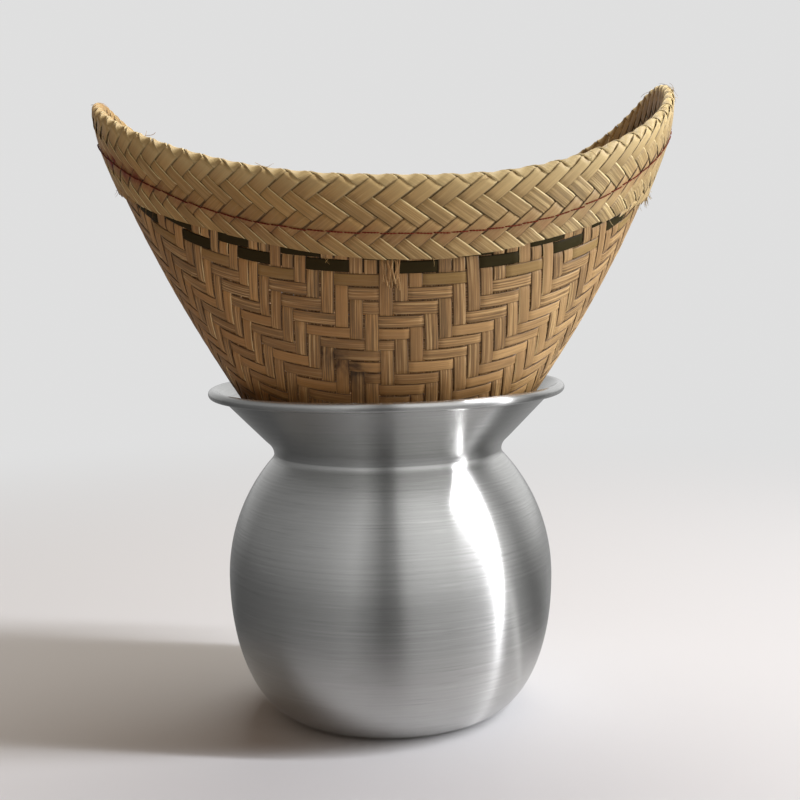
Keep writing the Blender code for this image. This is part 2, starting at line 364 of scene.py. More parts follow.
def wall_bamboo(colour):
    """The inner wood of the culm, darkened by steam: dull brown, in broad strips with coarse fibres."""
    return split_bamboo("wall_split_bamboo", colour, 0.46, 1.0, "#8a8478", 0.50, 0.42)


def border_bamboo(colour):
    """Thinner strips from nearer the skin, less used: straw brown, and dyed where the thread runs."""
    return split_bamboo("border_split_bamboo", colour, 0.34, 0.95, "#b8452c", 0.50, 0.42)


def bamboo_skin(colour):
    """Strips with the waxy green skin left on, which steam has turned almost black: smooth, low sheen."""
    return split_bamboo("bamboo_with_skin", colour, 0.25, 0.5, "#6d6654", 0.55, 0.12)


def dyed_cotton(colour):
    """Two-ply cotton thread, dyed red and faded: matt and a little hairy, so light where it stands proud."""
    material, tree, shader = new_material("dyed_cotton_thread")
    fuzz = grain_noise(tree, 0.5, 3.0, 3.0, 0.7)
    base = tinted(tree, shade(colour, 0.5, 0.1), shade(colour, 1.5), fuzz, (0.32, 0.66), (0.0, 1.0))
    worn = grain_noise(tree, 0.02, 0.0, 2.0)
    base = tinted(tree, base, shade(colour, 0.55, 0.15), worn, (0.4, 0.65), (0.0, 0.6))
    sockets = {"Base Color": base, "Roughness": 0.9, "Specular IOR Level": 0.2, "Sheen Weight": 0.10}
    set_sockets(tree, shader, sockets)
    return material


def spun_aluminium(colour):
    """Aluminium sheet spun on a lathe and rubbed with grit while it turned: a satin metal whose fine rings
    stretch every reflection up and down the pot."""
    material, tree, shader = new_material("spun_aluminium")
    place = add_node(tree, "TexCoord", output="Object")
    x, y, z = add_node(tree, "SeparateXYZ", (place,)).node.outputs
    flat = add_node(tree, "CombineXYZ", (x, y))
    radius = add_node(tree, "VectorMath", (flat,), "Value", operation="LENGTH")
    # Rings follow the turned line, so they depend on the radius and the height only. Grit lines 0.1 mm wide
    # would not show, so they are drawn about 0.9 mm apart
    turned = add_node(tree, "CombineXYZ", (radius, z))
    fine_rings = {"Vector": turned, "Scale": 1100.0, "Detail": 3.0, "Roughness": 0.7}
    rings = add_node(tree, "TexNoise", fine_rings, "Fac")
    broad = add_node(tree, "TexNoise", {"Vector": turned, "Scale": 120.0, "Detail": 2.0}, "Fac")
    # Scratches 1 mm high and about 40 mm long that follow the rings
    long_place = add_node(tree, "VectorMath", (place, (26.0, 26.0, 900.0)), operation="MULTIPLY")
    outward = add_node(tree, "Math", (radius, 900.0), operation="MULTIPLY")
    scratch = {"Vector": long_place, "W": outward, "Scale": 1.0, "Detail": 3.0, "Roughness": 0.65}
    scratch = add_node(tree, "TexNoise", scratch, "Fac", noise_dimensions="4D")
    patch = {"Vector": place, "Scale": 26.0, "Detail": 4.0, "Roughness": 0.6}
    patch = add_node(tree, "TexNoise", patch, "Fac")
    base = tinted(tree, shade(colour, 0.92), shade(colour, 1.06), rings, (0.3, 0.7), (0.0, 1.0))
    base = tinted(tree, base, shade(colour, 1.22), scratch, (0.58, 0.72), (0.0, 0.6))
    base = tinted(tree, base, shade(colour, 0.74), scratch, (0.42, 0.30), (0.0, 0.6))
    rough = add_node(tree, "Math", (patch, 0.08, METAL_ROUGHNESS - 0.06), operation="MULTIPLY_ADD")
    height = add_node(tree, "Math", (broad, 2.0, rings), operation="MULTIPLY_ADD")
    height = add_node(tree, "Math", (scratch, 0.8, height), operation="MULTIPLY_ADD")
    # The tangent runs round the pot, and a quarter turn sets the stretch across the rings
    tangent = add_node(tree, "VectorMath", ((0.0, 0.0, 1.0), flat), operation="CROSS_PRODUCT")
    spaces = {"vector_type": "VECTOR", "convert_from": "OBJECT", "convert_to": "WORLD"}
    tangent = add_node(tree, "VectorTransform", (tangent,), **spaces)
    sockets = {
        "Base Color": base,
        "Metallic": 1.0,
        "Roughness": add_node(tree, "Math", (rings, 0.06, rough), operation="MULTIPLY_ADD"),
        "Anisotropic": 1.0,
        "Anisotropic Rotation": 0.25,
        "Tangent": add_node(tree, "VectorMath", (tangent,), operation="NORMALIZE"),
        "Normal": add_node(tree, "Bump", {"Strength": 0.05, "Distance": 0.10 * MM, "Height": height}),
    }
    set_sockets(tree, shader, sockets)
    return material


# The basket's surface


def saddle(angle, low, rise, sharpness, tilt):
    return low + rise * np.abs(np.sin(angle)) ** sharpness + tilt * np.sin(angle)


def rim_height(angle):
    rim = saddle(angle, RIM_FRONT, RIM_RISE, RIM_SHARPNESS, RIM_TILT)
    return rim + TIP_DIFFERENCE / 2 * np.sin(angle) ** 5


def band_bottom(angle):
    return saddle(angle, BAND_BOTTOM_FRONT, BAND_BOTTOM_RISE, BAND_BOTTOM_SHARPNESS, BAND_BOTTOM_TILT)


def wide_radius(height):
    """Half the basket's outer width along X at this height."""
    above = np.maximum(height - SEAT_HEIGHT, 0)
    below = np.minimum(height - SEAT_HEIGHT, 0)
    near_tip = np.maximum(height - TIP_CURVE_HEIGHT, 0)
    cone = SEAT_RADIUS + LOWER_SLOPE * below + UPPER_SLOPE * above - UPPER_CURVE * above**2
    return cone - TIP_CURVE * near_tip**2


def ovalness(height):
    """0 at the round neck, 1 towards the rim, where the plan is a blunt oval."""
    return np.clip((height - SEAT_HEIGHT) / (FLATTEST_HEIGHT - SEAT_HEIGHT), 0, 1)


def on_wall(angle, height):
    """Points on the outside of the wall."""
    above = np.maximum(height - SEAT_HEIGHT, 0)
    oval = ovalness(height)
    wide = wide_radius(height) * (1 + BLUNTNESS * oval * np.sin(2 * angle) ** 2)
    x = wide * np.sin(angle) + SWAY * above - SWAY_CURVE * above**2
    y = -wide * (1 - (1 - FLATTEST) * oval) * np.cos(angle)
    return np.stack(np.broadcast_arrays(x, y, height + 0 * angle), axis=-1)


def unit(vectors):
    return vectors / np.linalg.norm(vectors, axis=-1)[..., None]


def slopes(angle, height, step=1e-4):
    """How far a point moves per radian round the wall and per metre of height."""
    turn = on_wall(angle + step, height) - on_wall(angle - step, height)
    climb = on_wall(angle, height + step) - on_wall(angle, height - step)
    return turn / (2 * step), climb / (2 * step)


def wall_normal(angle, height):
    turn, climb = slopes(angle, height)
    return unit(np.cross(turn, climb))


def between(table, row, column, wrap=False):
    """Values of a table at fractional rows and columns; wrap joins the last row to the first."""
    low = np.floor(row).astype(int)
    left = np.clip(np.floor(column).astype(int), 0, table.shape[1] - 2)
    if wrap:
        up, down = low % len(table), (low + 1) % len(table)
    else:
        low = np.clip(low, 0, len(table) - 2)
        up, down = low, low + 1
    rise = row - low
    across = np.clip(column - left, 0, 1)
    first = table[up, left] * (1 - rise) + table[down, left] * rise
    second = table[up, left + 1] * (1 - rise) + table[down, left + 1] * rise
    return first * (1 - across) + second * across


class Mat:
    """The wall laid flat. A half disc of mat rolls into the cone with its seam at the back, so a place is
    (x, y) from the point of the cone, with y down the front axis."""

    def __init__(self):
        angle = FRONT_AXIS + np.linspace(-math.pi, math.pi, 721)
        heights = np.linspace(SEAT_HEIGHT, MAT_REACH, 140)
        steps = np.linalg.norm(np.diff(on_wall(angle[:, None], heights[None, :]), axis=1), axis=-1)
        self.stretch = math.sqrt(1 + LOWER_SLOPE**2)
        self.apex = SEAT_HEIGHT - SEAT_RADIUS / LOWER_SLOPE
        seat = (SEAT_HEIGHT - self.apex) * self.stretch
        self.reach = np.linspace(0.0005, MAT_REACH, 211)
        height = np.empty((len(angle), len(self.reach)))
        for row, climbed in enumerate(np.cumsum(steps, axis=1)):
            height[row] = np.interp(self.reach, [0, seat, *(seat + climbed)], [self.apex, *heights])
        around = np.linalg.norm(np.diff(on_wall(angle[:, None], height), axis=0), axis=-1)
        whole = np.vstack([np.zeros(len(self.reach)), np.cumsum(around, axis=0)])
        turned = math.pi * (whole / whole[-1] - 0.5)
        self.turns = np.linspace(-math.pi / 2, math.pi / 2, 361)
        self.angles = np.empty((len(self.turns), len(self.reach)))
        self.heights = np.empty_like(self.angles)
        for column in range(len(self.reach)):
            self.angles[:, column] = np.interp(self.turns, turned[:, column], angle)
            self.heights[:, column] = np.interp(self.angles[:, column], angle, height[:, column])

    def find(self, x, y):
        """The angle and the height on the basket, and the distance from the point of the cone."""
        x, y = (
            x + STAKE_LEAN * (y - LEAN_REACH) * smooth(y / SEAM_BLEND),
            y - ROW_SKEW * x * smooth(y / (1.2 * SEAM_BLEND)),
        )
        far = np.hypot(x, y)
        row = (np.arctan2(x, y) - self.turns[0]) / (self.turns[1] - self.turns[0])
        column = (far - self.reach[0]) / (self.reach[1] - self.reach[0])
        return between(self.angles, row, column), between(self.heights, row, column), far

    def place(self, flat, lift):
        """Points on the wall, lifted from the middle of its thickness."""
        angle, height, far = self.find(flat[..., 0], flat[..., 1])
        normal = wall_normal(angle, height)
        points = on_wall(angle, height)
        # The point of the cone is rounded by a ball
        half_angle = math.atan(LOWER_SLOPE)
        share = np.clip(far / (TIP_ROUNDING / LOWER_SLOPE), 0, 1)[..., None]
        lean = share * (math.pi / 2 - half_angle)
        ball = np.array((0, 0, self.apex + TIP_ROUNDING / math.sin(half_angle)))
        outward = np.stack([np.sin(angle), -np.cos(angle), 0 * angle], axis=-1)
        round_normal = outward * np.sin(lean) + np.array((0, 0, -1)) * np.cos(lean)
        at_tip = share < 1
        normal = np.where(at_tip, round_normal, normal)
        points = np.where(at_tip, ball + TIP_ROUNDING * round_normal, points)
        return points + (lift - WALL / 2)[..., None] * normal


class Border:
    """The plaited band laid flat: u runs round the rim, v from the ridge down the outside (v above 0) and
    down the inside (v below 0)."""

    def __init__(self, steps=960, deep=0.092, step=0.001):
        angle = np.linspace(0, 2 * math.pi, 1441)
        edge = on_wall(angle, rim_height(angle) - FOLD_RADIUS)
        run = np.r_[0, np.cumsum(np.linalg.norm(np.diff(edge, axis=0), axis=-1))]
        self.around = run[-1]
        self.step = step
        self.start = np.interp(np.arange(steps) * self.around / steps, run, angle)
        angle = self.start.copy()
        height = rim_height(angle) - FOLD_RADIUS
        self.fold_height = height.copy()
        turned, heights = [0 * angle], [height]
        for _ in range(round(deep / step)):
            points = on_wall(angle, height)
            along = unit(np.roll(points, -1, axis=0) - np.roll(points, 1, axis=0))
            turn, climb = slopes(angle, height)
            normal = unit(np.cross(turn, climb))
            # Square to the rim, but leaning to straight down at the tips, where square lines would meet
            share = 0.25 + 0.45 * np.sin(angle)[:, None] ** 8
            down = unit((1 - share) * unit(np.cross(along, normal)) - share * unit(climb))
            ways = np.stack([turn, climb], -2)
            solve = np.linalg.inv((ways[:, :, None] * ways[:, None]).sum(-1))
            pull = (ways * down[:, None]).sum(-1) * step
            moved = (solve @ pull[..., None])[..., 0]
            angle = angle + moved[:, 0]
            height = height + moved[:, 1]
            turned.append(angle - self.start)
            heights.append(height)
        self.turned = np.array(turned).T
        self.heights = np.array(heights).T
        self.radius = WALL / 2 + GAP + BAND / 2
        self.quarter = self.radius * math.pi / 2

    def find(self, u, deep):
        """Angle and height at this place round the rim and this far down a leg."""
        row = u / self.around * len(self.start)
        column = deep / self.step
        turned = between(self.turned, row, column, True)
        height = between(self.heights, row, column, True)
        whole = np.floor(row)
        low = self.start[whole.astype(int) % len(self.start)]
        high = self.start[(whole.astype(int) + 1) % len(self.start)]
        high = np.where(high < low, high + 2 * math.pi, high)
        return low + (high - low) * (row - whole) + turned, height

    def place(self, flat, lift):
        """Points on the middle of the band's thickness, lifted away from the wall."""
        u, v = flat[..., 0], flat[..., 1]
        deep = np.maximum(np.abs(v) - self.quarter, 0)
        angle, height = self.find(u, deep)
        normal = wall_normal(angle, height)
        lean = np.clip(v / self.radius, -math.pi / 2, math.pi / 2)[..., None]
        middle = on_wall(angle, height) - WALL / 2 * normal
        ahead, ahead_height = self.find(u + 0.001, deep)
        behind, behind_height = self.find(u - 0.001, deep)
        along = unit(on_wall(ahead, ahead_height) - on_wall(behind, behind_height))
        up = unit(np.cross(normal, along))
        outward = np.cos(lean) * up + np.sin(lean) * normal
        return middle + (self.radius + lift)[..., None] * outward

    def depth_of_edge(self, u):
        """How far down v the band's bottom edge lies."""
        deep = np.arange(self.heights.shape[1]) * self.step
        angle, height = self.find(u[:, None], deep[None, :])
        below = height < band_bottom(angle)
        return self.quarter + deep[np.argmax(below, axis=1)]


# Ribbons


# One side of a strip's section, left edge to right: share of the width, share of the thickness
HALF_SECTION = ((-0.5, 0.10), (-0.46, 0.36), (-0.39, 0.5), (0.39, 0.5), (0.46, 0.36), (0.5, 0.10))
SECTION = np.array((*HALF_SECTION, *((across, -up) for across, up in reversed(HALF_SECTION))))
# How dark its edges are painted, as shade and dirt in the gaps between strips, by the share of the width from
# the middle
EDGE_SHADE_AND_DIRT = np.interp(np.abs(SECTION[:, 0]), (0.39, 0.46, 0.5), (0.0, -0.5, -1.0))
PLAIN_STRIP = {"shear": 0.0, "roll": 0.0, "stain_and_painted_light": 0.0, "pale": 0}


def add_item(name, data, material=None):
    """A new object in the scene."""
    if material:
        data.materials.append(material)
    item = bpy.data.objects.new(name, data)
    bpy.context.scene.collection.objects.link(item)
    return item


def store(mesh, name, kind, field, values):
    attribute = mesh.attributes.new(name, kind, "POINT")
    attribute.data.foreach_set(field, np.asarray(values, np.float32).ravel())


def ribbon_mesh(name, strips, surface, material):
    """One mesh of many strips. A strip is a dict of middle, a flat place for each of its sections, and of
    single values or one for each section: side and ahead (flat unit vectors), shear, width, thickness, lift,
    roll, along, tone, lined and stain. Its seed is single, and so is pale, its paler edge: 1, -1, or 0."""
    points, faces, grain, looks = [], [], [], {"tone_and_painted_light": [], "lined": [], "edge": [], "stain_and_painted_light": []}
    first = 0
    size = len(SECTION)
    for strip in strips:
        strip = {**PLAIN_STRIP, **strip}
        count = len(strip["middle"])
        shear, width, thickness, lift, roll, along = (
            np.broadcast_to(strip[key], count)[:, None]
            for key in ("shear", "width", "thickness", "lift", "roll", "along")
        )
        side, ahead = (np.broadcast_to(strip[key], (count, 2))[:, None, :] for key in ("side", "ahead"))
        across = SECTION[:, 0] * width
        skew = across * shear
        flat = strip["middle"][:, None, :] + across[..., None] * side + skew[..., None] * ahead
        lift = lift + SECTION[:, 1] * thickness + across * roll
        points.append(surface.place(flat, lift).reshape(-1, 3))
        ring = first + np.arange(count)[:, None] * size + np.arange(size)
        after = np.roll(ring, -1, axis=1)
        quads = np.stack([ring[:-1], ring[1:], after[1:], after[:-1]], axis=-1).reshape(-1, 4)
        faces.extend([*quads.tolist(), ring[0].tolist(), ring[-1][::-1].tolist()])
        place = np.broadcast_arrays((along + skew) / MM, across / MM, strip["seed"])
        grain.append(np.stack(place, -1).reshape(-1, 3))
        edge = np.where((SECTION[:, 0] * strip["pale"] > 0) & (EDGE_SHADE_AND_DIRT < 0), 1.0, EDGE_SHADE_AND_DIRT)
        looks["edge"].append(np.tile(edge, count))
        for key in ("tone_and_painted_light", "lined", "stain_and_painted_light"):
            looks[key].append(np.repeat(np.broadcast_to(strip[key], count), size))
        first += count * size
    mesh = bpy.data.meshes.new(name)
    mesh.from_pydata(np.concatenate(points).tolist(), [], faces)
    store(mesh, "grain", "FLOAT_VECTOR", "vector", np.concatenate(grain))
    for key, values in looks.items():
        store(mesh, key, "FLOAT", "value", np.concatenate(values))
    mesh.shade_smooth()
    mesh.set_sharp_from_angle(angle=math.radians(40))
    return add_item(name, mesh, material)


def smooth(share):
    share = np.clip(share, 0, 1)
    return share * share * (3 - 2 * share)


def near(value, middle, spread):
    """1 in the middle, fading to both sides."""
    return np.exp(-(((value - middle) / spread) ** 2))


def lifts(places, crossings, signs, pitch):
    """About 1 where the strip passes over and -1 where it passes under, and most in the middle of a float."""
    alike = (signs == np.roll(signs, 1)) & (signs == np.roll(signs, -1))
    signs = signs * np.where(alike, 1.12, 0.92)
    after = np.clip(np.searchsorted(crossings, places), 1, len(crossings) - 1)
    middle = (crossings[after - 1] + crossings[after]) / 2
    share = smooth((places - middle) / (2 * TURN_SHARE * pitch) + 0.5)
    return signs[after - 1] * (1 - share) + signs[after] * share


def section_places(start, end, crossings, signs, pitch):
    """Where a strip needs sections: at each crossing, and closer where it changes layer."""
    places = [start, end, *crossings]
    middles = (crossings[1:] + crossings[:-1]) / 2
    turning = middles[signs[1:] != signs[:-1]]
    for share in np.linspace(-TURN_SHARE, TURN_SHARE, 5):
        places.extend(turning + share * pitch)
    places = np.unique(np.round([p for p in places if start <= p <= end], 6))
    return places[np.r_[True, np.diff(places) > SECTIONS_APART]]


def wander(random, places, size, wave=0.09):
    """A slow aimless drift along a strip."""
    phase = random.uniform(0, 2 * math.pi, 3)
    rate = 2 * math.pi / (wave * random.uniform(0.6, 1.6, 3))
    return size * sum(np.sin(places * r + p) for r, p in zip(rate, phase)) / 3


# Weaving the wall


def row_passes_over(stake, row):
    """Whether a row passes over a stake. Stakes count from 0 rightwards and from -1 leftwards of the front
    axis. A 3 and 3 twill that steps towards the axis on both sides, with its top rows stepping one way."""
    if row < DARK_ROWS + OLIVE_ROWS:
        return (stake - 2 * row + 1) % 6 < 3
    if stake >= 0:
        return (stake + row + 1) % 6 < 3
    return (-stake - 1 + row + 4) % 6 < 3


def row_share(row):
    """How broad a row's strip is against the mean."""
    return 1 + BROAD_BY * near(row, BROAD_ROW, 1.3) - NARROW_BY * near(row, NARROW_ROW, 1.6)


def row_reach(row):
    """How far the middle of a row lies from the point of the cone, along the front axis."""
    between_rows = np.arange(0, 12) + 0.5
    moved = np.clip(np.asarray(row)[..., None] - between_rows + 0.5, 0, 1) * (row_share(between_rows) - 1)
    return (ROWS - 0.5 - row - moved.sum(-1)) * ROW_PITCH


def stake_reach(edge, way):
    """How far from the front axis a stake lies, to the right where way is 1 and the left where it is -1."""
    lost, knee = (LOST_RIGHT, KNEE_RIGHT) if way > 0 else (LOST_LEFT, KNEE_LEFT)
    crowded = edge - lost * (1 - np.exp(-((edge / knee) ** 3)))
    return (crowded + way * AXIS_SHIFT) * STAKE_PITCH


def flat_strip(random, places, middle, side, ahead, width, lift, tone_and_painted_light, lined):
    """A strip of the mat, as unevenly split and laid as by hand, with the marks of damp that it crosses."""
    x, y = middle.T
    stain_and_painted_light = sum(size * near(x, at, DAMP_SPREAD) * near(y, up, DAMP_SPREAD) for at, up, size in DAMP_MARKS)
    return {
        "middle": middle + wander(random, places, 0.0003)[:, None] * np.array(side),
        "side": side,
        "ahead": ahead,
        "width": width * (1 + wander(random, places, 0.025)),
        "thickness": random.uniform(0.85, 1.1),
        "lift": STRIP_LIFT * lift + wander(random, places, 0.00006),
        "roll": wander(random, places, 0.012, 0.03),
        "along": places,
        "stain_and_painted_light": stain_and_painted_light,
        "tone_and_painted_light": tone_and_painted_light,
        "lined": lined,
        "pale": random.choice((-1, 0, 1), p=(0.1, 0.8, 0.1)),
        "seed": random.uniform(0, 90),
    }


def inside_band(mat, x, y):
    """Whether a place on the mat is still below the wall's top edge, which the band hides."""
    angle, height, _ = mat.find(x, y)
    return height < rim_height(angle) - FOLD_RADIUS - EDGE_SHORT


def run_of(mat, to_flat):
    """How far a strip runs each way from its middle before it reaches the rim."""
    ends = []
    for way in (-1, 1):
        places = np.arange(0, LONGEST_RUN, RUN_STEP)
        outside = np.flatnonzero(~inside_band(mat, *to_flat(way * places)))
        ends.append(way * places[outside[0] - 1 if len(outside) else -1])
    return ends


def weave_rows(mat, random):
    """Strips along the mat's long side: level courses in front, upright behind."""
    strips = {}
    right = np.arange(STAKES + 4)
    stakes = np.r_[-right[::-1] - 1, right]
    crossings = np.r_[-stake_reach(right + 0.5, -1)[::-1], stake_reach(right + 0.5, 1)]
    for row in range(-ROWS_ABOVE, ROWS):
        reach = row_reach(row)
        if not inside_band(mat, np.array(0.0), np.array(reach)):
            continue

        def to_flat(along, reach=reach):
            return along, np.full(np.shape(along), reach)

        start, end = run_of(mat, to_flat)
        signs = np.where([row_passes_over(stake, row) for stake in stakes], 1.0, -1.0)
        places = section_places(start, end, crossings, signs, STAKE_PITCH)
        lift = lifts(places, crossings, signs, STAKE_PITCH)
        # Painted light: rows are paler on the right, and stakes on the left, where each catches more light
        tone_and_painted_light = np.clip(0.8 * random.beta(2.2, 2.2) + 0.20 * np.tanh(places / 0.06), 0.0, 0.8)
        lined = random.choice((0.2, 0.4, 0.6, 0.9), p=(0.3, 0.3, 0.25, 0.15))
        if DARK_ROWS <= row < DARK_ROWS + OLIVE_ROWS:
            tone_and_painted_light, lined = 1.0, 0.15
        width = ROW_PITCH * row_share(row) * STRIP_SHARE
        middle = np.stack(to_flat(places), -1)
        strips[row] = flat_strip(random, places, middle, (0.0, -1.0), (1.0, 0.0), width, lift, tone_and_painted_light, lined)
    return strips


def weave_stakes(mat, random):
    """Strips across the mat, each made of the two that meet in the seam: up the front at one side, round
    behind as a level course, and up the front at the other side."""
    strips = {}
    rows = np.arange(-ROWS_ABOVE - 3, ROWS)
    crossings = np.r_[-row_reach(rows), row_reach(rows)[::-1]]
    for stake in range(STAKES):
        # Reach and pitch of the stake on the right and on the left
        reaches = [stake_reach(stake + 0.5, way) for way in (1, -1)]
        pitches = [stake_reach(stake + 1.0, way) - stake_reach(stake, way) for way in (1, -1)]
        if not inside_band(mat, np.array(sum(reaches) / 2), np.array(0.0)):
            continue

        def on_side(along, values=reaches):
            """One value on each side, and their mean in the seam."""
            far = smooth(np.abs(along) / SEAM_BLEND)
            return far * np.where(along > 0, *values) + (1 - far) * sum(values) / 2

        def to_flat(along, on_side=on_side):
            return np.where(along > 0, 1, -1) * on_side(along), np.abs(along)

        start, end = run_of(mat, to_flat)
        sides = [[row_passes_over(number, row) for row in rows] for number in (-stake - 1, stake)]
        signs = np.where([*sides[0], *sides[1][::-1]], -1.0, 1.0)
        places = section_places(start, end, crossings, signs, ROW_PITCH)
        places = places[np.abs(places) > SEAM_CLEAR]
        lift = lifts(places, crossings, signs, ROW_PITCH)
        way = np.where(places > 0, 1.0, -1.0)
        side = np.stack([way, 0 * way], -1)
        # Painted light: stakes are made paler on the left and darker on the right
        tone_and_painted_light = np.clip(0.8 * random.beta(2.2, 2.2) - 0.14 * np.tanh(places / 0.10), 0.0, 0.8)
        lined = random.choice((0.3, 0.5, 0.8, 1.0), p=(0.25, 0.3, 0.25, 0.2))
        width = on_side(places, pitches) * STRIP_SHARE
        middle = np.stack(to_flat(places), -1)
        strips[stake] = flat_strip(random, places, middle, side, side[:, ::-1], width, lift, tone_and_painted_light, lined)
    return strips


def splice(random):
    """The frayed end of a strip, as fibres of unequal length that lie over the weave."""
    fibres = []
    for number in range(SPLICE_FIBRES):
        end = SPLICE_END + random.uniform(-0.0032, 0.0032)
        places = np.arange(-SPLICE_TOP, -end, SPLICE_STEP)
        run = places + SPLICE_TOP
        across = SPLICE_FROM + (SPLICE_TO - SPLICE_FROM) * (number + 0.5) / SPLICE_FIBRES
        across = across + wander(random, places, 0.0010, 0.02) + 0.12 * run * (0.5 - number / SPLICE_FIBRES)
        middle = np.stack([across, -places], -1)
        tone_and_painted_light = random.uniform(0.35, 0.8)
        fibre = flat_strip(random, places, middle, (1.0, 0.0), (0.0, -1.0), SPLICE_FIBRE, 0.0, tone_and_painted_light, 0.6)
        out = (SPLICE_LIFT + 0.0002 * (number % 2)) * smooth(run / 0.004)
        fibre["lift"] = 0.00015 + out + wander(random, places, 0.0003, 0.008)
        fibre["thickness"] *= 0.45
        fibre["pale"] = 1
        fibres.append(fibre)
    return fibres


# Plaiting the border


class Plait:
    """The border's surface under an even grid of strips, which lies on it as unevenly as a hand laid it. On
    the grid a place is (w, k), with w round the rim and k down the outside."""

    def __init__(self, border):
        self.border = border
        half = border.around / 2
        self.u = np.linspace(-half, half, 4001)
        middle = (self.u[1:] + self.u[:-1]) / 2
        rise = 1 / (1 + np.exp(-(middle - FRONT_FROM) / FRONT_SOFT))
        front = rise * near(np.maximum(middle, FRONT_FADE_FROM), FRONT_FADE_FROM, FRONT_FADE)
        back = near(np.abs(middle), half, BACK_FADE)
        spacing = PLAIT_CLOSE + PLAIT_WIDER * front + BACK_WIDER * back
        number = np.r_[0, np.cumsum((self.u[1] - self.u[0]) / spacing)]
        self.count = round(number[-1])
        number *= self.count / number[-1]
        self.number = number + 0.5 - np.interp(PLAIT_CORNER, self.u, number)

    def lay(self, flat):
        """Where a place on the grid lies on the border."""
        number = (flat[..., 0] / PLAIT_SPACING - self.number[0]) % self.count + self.number[0]
        u = np.interp(number, self.number, self.u)
        first = FIRST_ROW + FIRST_LOWER * near(u, FIRST_PLACE, FIRST_FADE)
        cell = 1 - LOW_CELLS * near(u, LOW_PLACE, LOW_FADE)
        v = first + flat[..., 1] * cell
        lean = -PLAIT_LEAN * np.sin(4 * math.pi * (u - LEAN_PLACE) / self.border.around)
        u = u + lean * (np.abs(v) - first - 2 * PLAIT_CELL * cell)
        return np.stack([u, v], -1)

    def place(self, flat, lift):
        return self.border.place(self.lay(flat), lift)


def plait_looks(border, family, u, v, random):
    """How far the strip gapes at each place, and its stain with painted light, its tone with painted light
    and shade, and its strength of fibres there.
    """
    left_tip = near(u, -border.around / 4, GAPE_SPREAD)
    gape = left_tip * near(v, GAPE_DEPTH, GAPE_DEPTH / 2.6)
    stain_and_painted_light = near(v, thread_depth(border, u) + 0.001, DYE_SPREAD) * dye_strength(border, u)
    for torn, spread in TORN_SPOTS:
        stain_and_painted_light = np.maximum(stain_and_painted_light, near(u, torn, spread) * near(v, 0.0005, 0.0016))
    # Painted light: the top of the ridge is made paler, where light from above falls on it, except at the
    # left tip
    stain_and_painted_light = stain_and_painted_light - near(v, LIT_RIDGE_PLACE, LIT_RIDGE_SPREAD) * (1 - left_tip)
    # Painted shade: the inner side is darker. It also shows strong fibres
    inside = smooth((-v - INSIDE_FROM) / INSIDE_SOFT)
    tone_and_painted_light = 0.4 + 0.6 * (random.beta(2.0, 2.0) - 0.5) - 0.5 * inside
    if family == "up":
        # Painted light and shade: paler where they come up to the ridge and catch the light, darker where
        # they dive under again
        tone_and_painted_light = tone_and_painted_light + 0.25 * near(v, 0.003, 0.006) - 0.3 * near(v, 0.0165, 0.004)
        ribbed = 0.2
    else:
        # Painted shade: darker in the slots where the strips gape outside the left tip. The strips that run
        # down to the right show strong fibres, most just right of the front
        tone_and_painted_light = tone_and_painted_light - gape
        ribbed = 0.35 + 0.55 * near(u[len(u) // 2], 0.075, 0.065)
    return gape, stain_and_painted_light, np.clip(tone_and_painted_light, 0.0, 0.8), np.maximum(ribbed, 1.1 * inside)


